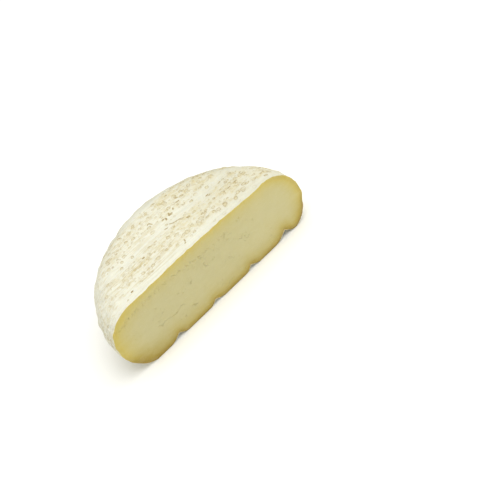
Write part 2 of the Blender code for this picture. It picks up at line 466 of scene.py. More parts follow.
def station_places():
    """The X of each cross-section, evenly spaced over the rind's skin."""
    lean = np.linspace(0.0, math.pi / 2, DENSE)
    left_flat = RADIUS - LEFT_SHOULDER
    right_flat = RADIUS - RIGHT_SHOULDER
    left_rise = LEFT_HEIGHT * (1 - LEFT_WAIST)
    right_rise = RIGHT_HEIGHT * (1 - RIGHT_WAIST)
    x = np.concatenate([
        -left_flat - LEFT_SHOULDER * np.sin(lean[::-1]),
        right_flat + RIGHT_SHOULDER * np.sin(lean),
    ])
    z = np.concatenate([left_rise * np.cos(lean[::-1]), right_rise * np.cos(lean)])
    places, _ = evenly(x, z, STATIONS)
    return places


def trench(distance, low_reach, high_reach):
    """1 in the middle of a crease, falling to 0 on both sides, by the signed distance from it."""
    reach = np.where(distance < 0, low_reach, high_reach)
    fall = np.exp(-((np.abs(distance) / reach) ** CREASE_SHARPNESS))
    return np.maximum(0.0, fall - CREASE_FLOOR) / (1 - CREASE_FLOOR)


def under_creases(x, y):
    """How far the creases press the underside up, and how much of a crease each place is, from 0 to 1."""
    wander = CREASE_WANDER * noisy(stack(0.0, y / WAVE_LENGTH, 3.0), 1.0)
    lift = np.zeros_like(x)
    crease = np.zeros_like(x)
    for number, depth in enumerate(UNDER_CREASE_DEPTHS):
        distance = x - (UNDER_CREASE_FIRST_X + number * UNDER_CREASE_PITCH) - wander
        shape = trench(distance, UNDER_CREASE_LEFT_REACHES[number], UNDER_CREASE_RIGHT_REACHES[number])
        lift = np.maximum(lift, depth * shape)
        crease = np.maximum(crease, shape)
    return lift, crease


def top_troughs(x, y):
    """How far the troughs press the top down, and how much of a trough each place is, from 0 to 1."""
    wander = 2 * CREASE_WANDER * noisy(stack(x / WAVE_LENGTH, 0.0, 5.0), 1.0)
    sink = np.zeros_like(x)
    trough = np.zeros_like(x)
    for number, depth in enumerate(TOP_TROUGH_DEPTHS):
        distance = y - (TOP_TROUGH_FIRST_Y + number * TOP_TROUGH_PITCH) - wander
        shape = trench(distance, TOP_TROUGH_REACH, TOP_TROUGH_REACH)
        sink = np.maximum(sink, depth * shape)
        trough = np.maximum(trough, shape)
    return sink, trough


def set_back(x, level, border):
    """How far behind the knife's plane the cut lies, by the distance from its nearest edge."""
    near_top = smooth(TOP_ROLL_FROM, 1.0, level / height_at(x))
    roll = CUT_EDGE_ROLL * (1 - TOP_ROLL_LOSS * near_top) * (1 - smooth(0.0, CUT_EDGE_WIDTH, border))
    swell = CUT_SWELL * noisy(stack(x, 0.0, level), WAVE_LENGTH)
    return roll + swell * smooth(0.0, 2 * CUT_EDGE_WIDTH, border)


class Rind:
    """The rind's points, the way out of the cheese at each, and what its colours need to know."""

    def __init__(self, x, depth, level):
        waist = waist_at(x)
        height = height_at(x)
        above = level >= waist
        underness = np.where(above, 0.0, 1.0 - smooth(0.0, UNDERSIDE_SHARE, level / waist))
        upness = np.where(above, smooth(0.0, 1.0, (level - waist) / (height - waist)), 0.0)
        crease_lift, crease = under_creases(x, depth)
        trough_sink, trough = top_troughs(x, depth)
        dent = noisy(stack(x / WAVE_LENGTH, depth / WAVE_LENGTH, 7.0), 1.0) - UNDER_DENT_FROM
        lift = underness * (crease_lift + UNDER_DENT_HEIGHT * np.maximum(0.0, dent))
        edge = np.hypot(x, depth) / RADIUS
        lift += upness * (DOME * (1 - edge**2) - trough_sink)
        base = stack(x, depth, level)
        wave = noisy(base, WAVE_LENGTH)
        crag = noisy(base, CRAG_LENGTH, shift=(11.0, 0.0, 0.0))
        swell = (1 - underness) * (WAVE_HEIGHT * wave + CRAG_HEIGHT * crag)
        flat = stack(x, depth, 0.0)
        aside = flat / np.maximum(np.linalg.norm(flat, axis=-1), TINY)[..., None]
        out = aside * (1 - upness)[..., None] + stack(0.0, 0.0, upness)
        back = set_back(x, level, 0.0) * np.exp(-depth / CUT_EDGE_WIDTH)
        self.points = base + out * swell[..., None] + stack(0.0, back, lift)
        self.out = out / np.linalg.norm(out, axis=-1)[..., None]
        self.underness = underness
        self.upness = upness
        self.crease = crease * underness
        self.trough = trough * upness
        self.base = base

    def roughen(self):
        """Adds the fine bumps, the streaks along the cut and the uneven edges."""
        fine = sum(height * noisy(self.base, length, shift=(3.0, 7.0, 1.0)) for length, height in BUMPS)
        along = self.base / np.array([STREAK_LENGTH, STREAK_WIDTH, STREAK_WIDTH])
        fine += STREAK_HEIGHT * noisy(along, 1.0, shift=(0.0, 5.0, 0.0)) * self.upness
        rim = noisy(self.base, RIM_BUMP_LENGTH, shift=(2.0, 0.0, 8.0))
        fine += RIM_BUMP_HEIGHT * rim * (1 - smooth(TOP_FROM, 1.0, self.upness))
        self.points = self.points + self.out * (fine * (1 - self.underness))[..., None]
        edge = stack(self.base[..., 0], 0.0, 0.0)
        scallop = sum(height * noisy(edge, length, shift=(0.0, 2.0, 6.0)) for length, height in EDGE_SCALLOPS)
        self.points[..., 2] += scallop * np.exp(-self.base[..., 1] / EDGE_SCALLOP_REACH) * self.upness
        self.points[..., 2] = np.maximum(self.points[..., 2], PRESSED_FLAT)
        under = np.maximum(0.0, noisy(self.base, UNDER_BUMP_LENGTH, shift=(9.0, 0.0, 0.0)))
        self.points[..., 2] += UNDER_BUMP_HEIGHT * under * self.underness

    def colour_zones(self):
        """How thin the white mould is, so that the tan rind shows through, and how much painted shade darkens
        the far rim.
        """
        x, y = self.base[..., 0], self.base[..., 1]
        from_axis = np.hypot(x, y)
        patch = noisy(self.base, ZONE_LENGTH, shift=(1.0, 2.0, 3.0))
        stretched = self.base / np.array([SMALL_ZONE_STRETCH, 1.0, 1.0])
        small = noisy(stretched, SMALL_ZONE_LENGTH, shift=(4.0, 2.0, 9.0))

        bands = 1 - smooth(*BAND_FADE, self.trough + BAND_UNEVENNESS * patch)
        left = smooth(*LEFT_END, x + LEFT_UNEVENNESS * patch)
        far = 1 - FAR_RIM_LOSS * smooth(*FAR_RIM, from_axis) * (1 - smooth(*FAR_RIM_STOPS, x))
        on_top = bands * (LEFT_END_TAN + (1 - LEFT_END_TAN) * left) * far
        on_rim = RIM_TAN + RIM_UNEVENNESS * patch
        on_underside = 1 - smooth(*CREASE_FADE, self.crease)
        zone = self.upness * on_top + (1 - self.upness - self.underness) * on_rim
        zone += self.underness * on_underside

        right = smooth(*RIGHT_SIDE, x) * self.upness
        patchiness = PATCHINESS + MORE_PATCHINESS * right
        zone += patchiness * small * (WHITE_PATCHINESS + zone) + MORE_TAN * right
        self.tan = np.clip(zone, 0.0, 1.0 + MOST_MORE_TAN * right)
        # Painted shade on the far rim, which turns away from the light
        rim = smooth(*SHADED_RIM, from_axis / RADIUS + SHADED_RIM_UNEVENNESS * patch)
        self.painted_rim_shade = rim * smooth(*SHADED_RIM_BACK, y) * smooth(*SHADED_RIM_RIGHT, x)


def camera_axes():
    """The camera's eye, and its right, up and back directions."""
    back = np.array([
        math.sin(AZIMUTH) * math.cos(ELEVATION),
        -math.cos(AZIMUTH) * math.cos(ELEVATION),
        math.sin(ELEVATION),
    ])
    level_right = np.array([math.cos(AZIMUTH), math.sin(AZIMUTH), 0.0])
    level_up = np.cross(back, level_right)
    right = level_right * math.cos(ROLL) - level_up * math.sin(ROLL)
    up = level_right * math.sin(ROLL) + level_up * math.cos(ROLL)
    aim = np.array([0.0, 0.0, AIM_HEIGHT]) + right * AIM_RIGHT + up * AIM_UP
    return aim + back * DISTANCE, right, up, back


def to_pixels(points):
    """Where points are in the picture."""
    eye, right, up, back = camera_axes()
    seen = points - eye
    away = -(seen @ back)
    across_picture = PICTURE / 2 + FOCAL_PIXELS * (seen @ right) / away
    down_picture = PICTURE / 2 - FOCAL_PIXELS * (seen @ up) / away
    return np.stack([across_picture, down_picture], axis=-1)


class Marks:
    """The rind's marks, and for every point how far and how strong the nearest mark is."""

    def __init__(self, rind):
        self.rind = rind
        self.reach = np.full(len(rind.points), UNMARKED)
        self.strength = np.zeros(len(rind.points))
        faces_camera = rind.out @ camera_axes()[3] > SEEN_LEAN
        self.seen = np.nonzero((rind.upness > SEEN_UPNESS) & faces_camera)[0]
        self.pixels = to_pixels(rind.points[self.seen] + np.array(TO_FRAME))

    def under_pixel(self, across_picture, down_picture):
        """The point of the rind that a pixel of the photograph shows."""
        gaps = self.pixels - (across_picture, down_picture)
        return self.rind.points[self.seen[np.argmin(np.hypot(*gaps.T))]]

    def press(self, near, height):
        """Moves these points of the rind out by a height, or in where it is negative."""
        self.rind.points[near] += self.rind.out[near] * height[:, None]

    def note(self, near, reach, strength):
        """Keeps the nearest mark at each place: how far out it is, 1 at its wall, and how strong."""
        closer = near[reach < self.reach[near]]
        self.strength[closer] = strength
        self.reach[near] = np.minimum(self.reach[near], reach)

    def pit(self, centre, radius, stretch, strength):
        """Presses one round pit with a raised lip."""
        points = self.rind.points
        offset = (points - centre) / np.array([stretch, 1.0, 1.0])
        reach = np.linalg.norm(offset, axis=-1) / radius
        near = np.nonzero(reach < UNMARKED)[0]
        reach = reach[near] * (1 + PIT_UNEVENNESS * noisy(points[near], PIT_WAVE_LENGTH))
        bowl = 1 - smooth(*PIT_BOWL, reach)
        lip = np.exp(-(((reach - PIT_LIP_PLACE) / PIT_LIP_WIDTH) ** 2))
        self.press(near, strength * (PIT_LIP * lip - PIT_DEPTH * bowl))
        self.note(near, reach, strength)

    def spot(self, centre, length, width, turn, darkness):
        """Presses one dark, uneven spot or crack."""
        points = self.rind.points
        offset = points - centre
        along = offset[:, 0] * math.cos(turn) + offset[:, 1] * math.sin(turn)
        aside = offset[:, 1] * math.cos(turn) - offset[:, 0] * math.sin(turn)
        aside = (aside - SPOT_BEND * along**2 / length) / width
        reach = 2 * np.sqrt((along / length) ** 2 + aside**2 + (offset[:, 2] / length) ** 2)
        near = np.nonzero(reach < UNMARKED)[0]
        reach = reach[near] * (1 + SPOT_UNEVENNESS * noisy(points[near], SPOT_WAVE_LENGTH))
        self.press(near, -PIT_DEPTH * (1 - smooth(*SPOT_BOWL, reach)))
        self.note(near, reach, SPOT_STRENGTH + darkness)

    def random_pits(self, chance):
        """Presses pits all over, most of them where the white mould is thin."""
        rind = self.rind
        weight = (PIT_CHANCE_ON_WHITE + rind.tan**2) * (1 - rind.underness)
        weight += PIT_CHANCE_UNDER * rind.underness
        share = weight / weight.sum()
        least, most = PIT_RADII
        for index in chance.choice(len(rind.points), PIT_COUNT, replace=False, p=share):
            radius = least + (most - least) * chance.random() ** 2
            strength = PIT_STRENGTH_LEAST + PIT_STRENGTH_SPREAD * chance.random() ** PIT_STRENGTH_SKEW
            stretch = 1 + PIT_STRETCH * chance.random()
            self.pit(rind.points[index].copy(), radius, stretch, strength)

    def placed_marks(self, chance):
        """Thins the mould in patches, and presses the rings and spots that stand out in the photograph."""
        for across_picture, down_picture, radius in PATCHES:
            offset = self.rind.points - self.under_pixel(across_picture, down_picture)
            distance = np.linalg.norm(offset / np.array([PATCH_STRETCH, 1.0, 1.0]), axis=-1)
            self.rind.tan += PATCH_STRENGTH * np.exp(-((distance / (radius * MILLIMETRE)) ** 2))
        for across_picture, down_picture, radius in RINGS:
            centre = self.under_pixel(across_picture, down_picture).copy()
            strength = RING_STRENGTH_LEAST + RING_STRENGTH_SPREAD * chance.random()
            self.pit(centre, radius * MILLIMETRE, RING_STRETCH, strength)
        for across_picture, down_picture, length, width, turn, darkness in SPOTS:
            centre = self.under_pixel(across_picture, down_picture).copy()
            size = (length * MILLIMETRE, width * MILLIMETRE)
            self.spot(centre, *size, math.radians(turn), darkness)


def press_marks(rind):
    """Presses every pit, ring, spot and crack into the rind, and gives them for the colours."""
    marks = Marks(rind)
    chance = np.random.default_rng(SEED)
    marks.random_pits(chance)
    marks.placed_marks(chance)
    return marks


def rind_grid(places):
    """The rind above and below the rim's widest line: for each, an array of stations by steps."""
    halves = []
    for top, steps in ((True, UPPER_STEPS), (False, LOWER_STEPS)):
        lines = [evenly(*section(x, top), steps) for x in places]
        depth = np.array([line[0] for line in lines])
        level = np.array([line[1] for line in lines])
        x = np.broadcast_to(places[:, None], depth.shape)
        halves.append((x, depth, level))
    return halves


def cut_grid(top_edge, bottom_edge):
    """The cut between its top and bottom edges, with its roll, its swell and the knife's fine marks."""
    even = np.linspace(1.0, 0.0, CUT_STEPS + 1)
    eased = 0.5 - 0.5 * np.cos(math.pi * even)
    share = ((even + eased) / 2)[None, :, None]
    points = bottom_edge[:, None] + (top_edge - bottom_edge)[:, None] * share
    x, z = points[..., 0], points[..., 2]
    to_top = top_edge[:, None, 2] - z
    to_bottom = z - bottom_edge[:, None, 2]
    border = np.minimum(np.minimum(to_top, to_bottom), RADIUS - np.abs(x))
    inside = points[:, 1:-1]
    inside_border = border[:, 1:-1]
    flat = inside.reshape(-1, 3)
    back = set_back(flat[:, 0], flat[:, 2], inside_border.ravel())
    fine = sum(height * noisy(flat, length, shift=(0.0, 3.0, 0.0)) for length, height in CUT_BUMPS)
    fade = smooth(0.0, CUT_BUMP_FADE, inside_border.ravel())
    points[:, 1:-1, 1] = (back + fine * fade).reshape(inside.shape[:2])
    return points


def margins(cut, outline):
    """How far each point of the cut is from the rind, in its plane."""
    flat = cut[:, [0, 2]]
    near = np.full(len(flat), 1.0)
    for start in range(0, len(outline), OUTLINE_PART):
        gaps = flat[:, None] - outline[None, start:start + OUTLINE_PART, [0, 2]]
        near = np.minimum(near, np.linalg.norm(gaps, axis=-1).min(axis=1))
    return near


def quads(rings, steps):
    """Faces between neighbouring cross-sections, and the fans that close both ends."""
    first = 1 + np.arange(rings - 1)[:, None] * steps
    here = np.arange(steps)[None]
    after = (here + 1) % steps
    sides = np.stack([first + here, first + after, first + steps + after, first + steps + here], axis=-1)
    last = 1 + (rings - 1) * steps
    end = last + steps
    fans = [[0, 1 + (step + 1) % steps, 1 + step] for step in range(steps)]
    fans += [[last + step, last + (step + 1) % steps, end] for step in range(steps)]
    return sides.reshape(-1, 4).tolist() + fans


def give_attribute(mesh, name, values):
    """Stores one number for each point, for the materials to read."""
    mesh.attributes.new(name, "FLOAT", "POINT").data.foreach_set("value", values.astype(np.float32))


def fit_to_solid(points):
    """The points moved so that their box stands where the solid's box does."""
    low, high = points.min(axis=0), points.max(axis=0)
    solid_low, solid_high = (np.array(corner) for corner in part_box("cheese_half"))
    move = (solid_low + solid_high) / 2 - (low + high) / 2
    move[2] = solid_low[2] - low[2]
    return points + move


def cheese_rind(places):
    """The rind's points: those above the rim's widest line, those below it, and the two ends."""
    upper, lower = rind_grid(places[1:-1])
    ends = places[[0, -1]]
    x = np.concatenate([upper[0].ravel(), lower[0].ravel(), ends])
    depth = np.concatenate([upper[1].ravel(), lower[1].ravel(), [0.0, 0.0]])
    level = np.concatenate([upper[2].ravel(), lower[2].ravel(), waist_at(ends)])
    rind = Rind(x, depth, level)
    rind.colour_zones()
    rind.roughen()
    return rind


class Rings:
    """Puts values of the rind and of the cut in the mesh's order, one ring at each station along the cut."""

    def __init__(self, rows):
        self.rows = rows
        self.upper_size = rows * (UPPER_STEPS + 1)

    def halves(self, values):
        """The rind's values above and below the rim's widest line: for each, stations by steps."""
        over = values[:self.upper_size].reshape(self.rows, UPPER_STEPS + 1, *values.shape[1:])
        under = values[self.upper_size:-2].reshape(self.rows, LOWER_STEPS + 1, *values.shape[1:])
        return over, under

    def ordered(self, values, on_cut):
        """The left end, each ring over the top, down the cut and back under the rind, and the right end."""
        above, below = self.halves(values)
        rings = np.concatenate([above[:, :-1], on_cut, below[:, -2:0:-1]], axis=1)
        flat = rings.reshape(-1, *values.shape[1:])
        return np.concatenate([values[-2:-1], flat, values[-1:]])


def give_rind_numbers(mesh, rings, rind, marks, shape):
    """Stores what the rind's colours need. The cut takes the numbers of its nearer edge."""
    lower_half = np.arange(shape[1]) > shape[1] / 2
    numbers = {
        "tan": rind.tan,
        # rim: the far rim's painted shade
        "rim": rind.painted_rim_shade,
        "reach": marks.reach,
        "strength": marks.strength,
        "trough": rind.trough,
        "crease": rind.crease,
    }
    for name, values in numbers.items():
        above, below = rings.halves(values)
        on_cut = np.where(lower_half, below[:, -1:], above[:, -1:])
        give_attribute(mesh, name, rings.ordered(values, on_cut))


def give_cut_numbers(mesh, rings, rind, cut):
    """Stores how many millimetres each point of the cut is from the rind, and from the underside."""
    over, under = rings.halves(rind.points)
    outline = np.concatenate([over[:, -1], under[:, -1], rind.points[-2:]])
    for name, line in (("margin", outline), ("low_margin", under[:, -1])):
        margin = margins(cut.reshape(-1, 3), line).reshape(cut.shape[:2])
        give_attribute(mesh, name, rings.ordered(np.zeros(len(rind.points)), margin / MILLIMETRE))


def cheese_mesh():
    """The whole half wheel as one closed mesh."""
    places = station_places()
    rind = cheese_rind(places)
    marks = press_marks(rind)
    rings = Rings(len(places) - 2)
    over, under = rings.halves(rind.points)
    cut = cut_grid(over[:, -1], under[:, -1])
    points = fit_to_solid(rings.ordered(rind.points, cut))
    faces = quads(rings.rows, UPPER_STEPS + CUT_STEPS + LOWER_STEPS)
    mesh = bpy.data.meshes.new("cheese_half_skin")
    mesh.from_pydata(points.tolist(), [], faces)

    on_cut = rings.ordered(np.zeros(len(rind.points)), np.ones(cut.shape[:2])) > 0.5
    on_cut[[0, -1]] = True
    material = np.array([int(on_cut[face].all()) for face in faces], np.int32)
    mesh.polygons.foreach_set("material_index", material)
    give_rind_numbers(mesh, rings, rind, marks, cut.shape)
    give_cut_numbers(mesh, rings, rind, cut)
    mesh.shade_smooth()
    mesh.set_sharp_from_angle(angle=SHARP_ANGLE)
    return mesh


class Graph:
    """A material's nodes, with a short way to add and join them."""

    def __init__(self, name):
        self.material = bpy.data.materials.new(name)
        self.material.use_nodes = True
        self.tree = self.material.node_tree
        self.shader = self.tree.nodes["Principled BSDF"]
        self.place = self.node("ShaderNodeTexCoord").outputs["Object"]

    def node(self, kind, inputs=(), **settings):
        """A node with these settings, and its inputs joined or set."""
        made = self.tree.nodes.new(kind)
        for name, value in settings.items():
            setattr(made, name, value)
        for socket, value in dict(inputs).items():
            self.put(made.inputs[socket], value)
        return made

    def put(self, socket, value):
        """Joins an output to a socket, or sets the socket's own value."""
        if isinstance(value, bpy.types.NodeSocket):
            self.tree.links.new(value, socket)
        else:
            socket.default_value = value

    def attribute(self, name):
        """One of the mesh's own numbers."""
        return self.node("ShaderNodeAttribute", attribute_name=name).outputs["Fac"]

    def axis(self, name):
        """One of the object coordinates."""
        return self.node("ShaderNodeSeparateXYZ", {0: self.place}).outputs[name]

    def stretched(self, x):
        """Object coordinates with X scaled. Below 1, a pattern is drawn out along the cut."""
        return self.node("ShaderNodeMapping", {"Vector": self.place, "Scale": (x, 1.0, 1.0)}).outputs[0]

    def warped(self, vector, share, length):
        """Coordinates bent by noise in waves about this long in metres."""
        bend = self.node("ShaderNodeTexNoise", {"Vector": self.place, "Scale": 1 / length}).outputs["Color"]
        mixed = self.node("ShaderNodeMix", {0: share, 4: vector, 5: bend}, data_type="VECTOR")
        return mixed.outputs[1]

    def noise(self, length, detail=3.0, roughness=0.55, distortion=0.0, vector=None):
        """Noise from 0 to 1, in waves about this long in metres."""
        inputs = {
            "Vector": vector or self.place,
            "Scale": 1 / length,
            "Detail": detail,
            "Roughness": roughness,
            "Distortion": distortion,
        }
        return self.node("ShaderNodeTexNoise", inputs).outputs["Fac"]

    def cells(self, vector, spacing, channel):
        """Cells about this far apart: how far a place is from its cell's middle, and the cell's chance."""
        made = self.node("ShaderNodeTexVoronoi", {"Vector": vector, "Scale": 1 / spacing})
        chances = self.node("ShaderNodeSeparateColor", {0: made.outputs["Color"]})
        return made.outputs["Distance"], chances.outputs[channel]

    def ease(self, value, low, high, start=0.0, end=1.0):
        """An eased step from start to end as value goes from low to high."""
        inputs = {"Value": value, 1: low, 2: high, 3: start, 4: end}
        return self.node("ShaderNodeMapRange", inputs, interpolation_type="SMOOTHSTEP").outputs[0]

    def fade(self, value, low, high, start=1.0):
        """An eased fall from start to 0 as value goes from low to high."""
        return self.ease(value, low, high, start, 0.0)

    def away(self, value, middle):
        """How far a value is from a middle one, to either side."""
        return self.math("ABSOLUTE", self.math("SUBTRACT", value, middle))

    def math(self, operation, first, second=0.0):
        """A sum on one or two values."""
        return self.node("ShaderNodeMath", {0: first, 1: second}, operation=operation).outputs[0]

    def times(self, first, *others):
        """The product of two or more values."""
        for other in others:
            first = self.math("MULTIPLY", first, other)
        return first

    def mix(self, share, first, second, blend="MIX"):
        """A colour between two others."""
        inputs = {0: share, 6: first, 7: second}
        return self.node("ShaderNodeMix", inputs, data_type="RGBA", blend_type=blend).outputs[2]

    def lay(self, below, cover, share, strength):
        """A colour with another laid over it where share is high, at most as strong as this."""
        return self.mix(self.times(share, strength), below, cover)

    def bumps(self, *layers):
        """Bumps on top of each other, each a pattern and its height in metres."""
        below = {}
        for pattern, height in layers:
            made = self.node("ShaderNodeBump", {"Height": pattern, "Distance": height, **below})
            below = {"Normal": made.outputs[0]}
        return made.outputs[0]

    def finished(self, inputs):
        """The material, with the shader's inputs joined or set by name."""
        for name, value in inputs.items():
            self.put(self.shader.inputs[name], value)
        return self.material


def rind_patterns(g):
    """The patterns that several layers of the rind share."""
    x = g.axis("X")
    along = g.stretched(RIND_STRETCH)
    return SimpleNamespace(
        along=along,
        mottle=g.noise(MOTTLE_LENGTH, 5.0, 0.66, 0.8, along),
        speckle=g.noise(SPECKLE_LENGTH, 4.0, 0.65, 0.3, along),
        grain=g.noise(GRAIN_LENGTH, 3.0, 0.6),
        streaks=g.noise(BRUSH_LENGTH, 3.0, 0.6, vector=g.stretched(BRUSH_STRETCH)),
        broken=g.noise(BREAK_LENGTH, 2.0, 0.5),
        left=g.ease(x, *BRUSHED_SIDE, 1.0, LEAST_BRUSHED),
        marked=g.ease(x, *RIGHT_SIDE, 1.0, MOST_MARKED),
        tan=g.attribute("tan"),
    )


def brushed(g, colour, seen):
    """The colour with the brush's long streaks, dashes and scores, which are strongest on the left."""
    streaks = g.times(g.fade(seen.streaks, 0.46, 0.56), seen.left)
    colour = g.lay(colour, WHITE_MOULD, streaks, BRUSHED_COVER)
    dashes = g.ease(g.noise(DASH_LENGTH, 2.0, 0.5, vector=g.stretched(DASH_STRETCH)), 0.58, 0.70)
    dashes = g.times(dashes, seen.left, g.ease(seen.tan, 0.0, 0.5, 0.25, 1.0))
    colour = g.lay(colour, OCHRE_RIND, dashes, DASH_COVER)
    scores = g.ease(g.noise(SCORE_LENGTH, 2.0, 0.6, vector=g.stretched(SCORE_STRETCH)), 0.52, 0.60)
    return g.lay(colour, OCHRE_RIND, g.times(scores, seen.left), SCORE_COVER)


def mould(g, seen, thin):
    """White and grey mould with the tan and ochre rind where it is thin, painted shade along the troughs, and
    a greyer right side that is partly painted shade.
    """
    cloud = g.noise(CLOUD_LENGTH, 3.0, 0.5)
    white = g.mix(g.ease(cloud, 0.50, 0.75, 0.0, CLOUD_COVER), WHITE_MOULD, GREY_MOULD)
    white = g.mix(g.ease(seen.streaks, 0.50, 0.66, 0.0, GREY_STREAK_COVER), white, GREY_MOULD)
    # Greyer towards the right: partly the mould's grey, partly painted shade where the light falls off
    white = g.mix(g.ease(g.axis("X"), *GREY_AND_SHADED_SIDE, 0.0, GREY_AND_SHADED_SIDE_COVER), white, GREY_MOULD)
    colour = brushed(g, g.lay(white, TAN_RIND, thin, TAN_COVER), seen)
    # Painted shade: a grey line along the middle of each trough on the top
    trough = g.ease(g.attribute("trough"), 0.80, 1.0)
    crease_shade = g.times(trough, g.ease(seen.streaks, 0.42, 0.60))
    colour = g.lay(colour, GREY_MOULD, crease_shade, CREASE_SHADE_COVER)
    ochre = g.times(thin, g.ease(seen.speckle, 0.54, 0.68))
    colour = g.lay(colour, OCHRE_RIND, ochre, OCHRE_COVER)
    colour = g.mix(g.ease(seen.grain, 0.50, 0.70, 0.0, GRAIN_COVER), colour, white)
    # Painted shade: the far rim darkened where it turns away from the light
    colour = g.mix(g.attribute("rim"), colour, RIM_SHADE, "MULTIPLY")
    return g.mix(g.fade(seen.speckle, 0.30, 0.46, SPECKLE_COVER), colour, GREY_MOULD)


def small_rings(g, colour, seen, thin):
    """The colour with small ringed pits, and how deep in one each place is."""
    distance, chance = g.cells(g.warped(seen.along, *SMALL_RING_WARP), SMALL_RING_SPACING, 0)
    chosen = g.times(g.ease(chance, 0.50, 0.85), g.ease(thin, 0.15, 0.60), seen.marked)
    fill = g.times(g.fade(distance, 0.20, 0.32), chosen)
    ring = g.times(g.fade(g.away(distance, SMALL_RING_RADIUS), 0.03, 0.10), chosen)
    colour = g.lay(colour, PIT_FLOOR, fill, SMALL_FILL_COVER)
    return g.lay(colour, PIT_WALL, ring, SMALL_RING_COVER), fill


def loops(g, colour, seen):
    """The colour with larger, broken loops."""
    distance, chance = g.cells(g.warped(g.place, *LOOP_WARP), LOOP_SPACING, 1)
    picked = g.times(g.ease(chance, 0.35, 0.75), g.ease(seen.tan, 0.0, 0.35, 0.15, 1.0), seen.marked)
    loop = g.times(g.fade(g.away(distance, LOOP_RADIUS), 0.02, 0.075), picked)
    loop = g.times(loop, g.ease(seen.broken, 0.36, 0.56, 0.35, 1.0))
    inside = g.times(g.fade(distance, 0.12, 0.24), picked)
    colour = g.lay(colour, PIT_FLOOR, inside, LOOP_FILL_COVER)
    return g.lay(colour, PIT_WALL, loop, LOOP_COVER)


def pressed_marks(g, colour, seen):
    """The colour with the floor and the wall of each pressed pit, and the dark spots."""
    strength = g.attribute("strength")
    reach = g.math("ADD", g.attribute("reach"), g.ease(seen.speckle, 0.3, 0.7, -FRAYED, FRAYED))
    weak = g.math("MINIMUM", strength, STRONGEST_PIT)
    fill = g.times(g.fade(reach, 0.80, 1.05), weak)
    wall = g.times(g.fade(g.away(reach, WALL_PLACE), 0.06, 0.30), weak)
    wall = g.times(wall, g.ease(seen.broken, 0.36, 0.56, 0.45, 1.0))
    dark = g.math("MAXIMUM", g.math("SUBTRACT", strength, SPOT_STRENGTH), 0.0)
    dark = g.times(g.fade(reach, 0.65, 1.0), dark)
    colour = g.lay(colour, PIT_FLOOR, fill, PIT_FILL_COVER)
    colour = g.lay(colour, PIT_WALL, wall, PIT_WALL_COVER)
    return g.lay(colour, BROWN_MARK, dark, SPOT_COVER)


def rind_material():
    """White mould over a tan rind, worn thin in patches, with brown-walled pits."""
    g = Graph("rind")
    seen = rind_patterns(g)
    thin = g.times(seen.tan, g.ease(seen.mottle, 0.40, 0.64, 0.20, 1.0))
    colour, small_pits = small_rings(g, mould(g, seen, thin), seen, thin)
    colour = pressed_marks(g, loops(g, colour, seen), seen)
    normal = g.bumps(
        (g.times(seen.mottle, seen.marked), MOTTLE_RELIEF),
        (g.times(seen.speckle, seen.marked), SPECKLE_RELIEF),
        (seen.streaks, BRUSH_RELIEF),
        (seen.grain, GRAIN_RELIEF),
        (g.times(small_pits, -1.0), SMALL_PIT_RELIEF),
    )
    return g.finished({
        "Base Color": colour,
        "Normal": normal,
        "Roughness": g.ease(seen.speckle, 0.3, 0.7, *RIND_ROUGHNESS),
        "Specular IOR Level": 0.25,
        "Subsurface Weight": 0.10,
        "Subsurface Scale": 0.0010,
        "Subsurface Radius": (1.0, 0.8, 0.5),
    })


def banded_paste(g):
    """Pale paste that deepens to yellow towards the rind, and to ochre towards the underside, partly ripe and
    partly painted shade. Its right side is paler as painted light.
    """
    x = g.axis("X")
    cloud = g.noise(PASTE_CLOUD_LENGTH, 3.0, 0.5)
    margin = g.attribute("margin")
    uneven = g.math("ADD", margin, g.ease(cloud, 0.3, 0.7, -UNEVEN_BAND, UNEVEN_BAND))
    from_middle = g.math("ABSOLUTE", x)
    uneven = g.math("SUBTRACT", uneven, g.ease(from_middle, *BOTH_ENDS, 0.0, WIDER_AT_ENDS))
    yellow_reach = g.ease(x, *LEFT_YELLOW, -LEFT_YELLOW_TIMES * YELLOW_REACH, -YELLOW_REACH)
    yellow = g.math("EXPONENT", g.math("DIVIDE", uneven, yellow_reach))
    ripe_shade_reach = g.ease(x, *LEFT_RIPE_SHADE, -LEFT_RIPE_SHADE_TIMES * RIPE_SHADE_REACH, -RIPE_SHADE_REACH)
    ripe_and_shade = g.math("EXPONENT", g.math("DIVIDE", g.attribute("low_margin"), ripe_shade_reach))
    ripe_and_shade = g.times(ripe_and_shade, g.fade(g.axis("Z"), *RIPE_SHADE_BELOW))
    yellow = g.math("ADD", yellow, g.times(ripe_and_shade, g.ease(x, *RIPE_SHADE_YELLOW_SIDE, *RIPE_SHADE_YELLOW)))

    # Painted light: the paste paler towards its right end
    core = g.mix(g.ease(x, *PAINTED_LIT_SIDE, 0.0, PAINTED_LIT_COVER), CORE_PASTE, PAINTED_LIT_PASTE)
    colour = g.mix(g.math("MINIMUM", yellow, MOST_YELLOW), core, YELLOW_PASTE)
    # Darker ochre towards the underside: partly ripe paste, partly painted shade, most at the left end
    colour = g.mix(ripe_and_shade, colour, OCHRE_TINT, "MULTIPLY")
    right_rim = g.times(g.fade(margin, 0.8, 3.0, RIGHT_RIM_TINT), g.ease(x, *RIGHT_RIM))
    return g.mix(right_rim, colour, OCHRE_TINT, "MULTIPLY")


def rind_line(g, speckle):
    """How much the rind's own thin line round the cut covers the paste. In the creases it is thick."""
    thick = g.times(g.attribute("crease"), g.fade(g.axis("Z"), *THICK_BELOW, THICK_LINE))
    line = g.times(thick, g.ease(speckle, 0.3, 0.7, 0.6, 1.3))
    return g.fade(g.math("SUBTRACT", g.attribute("margin"), line), -0.25, 0.0, RIND_LINE_COVER)


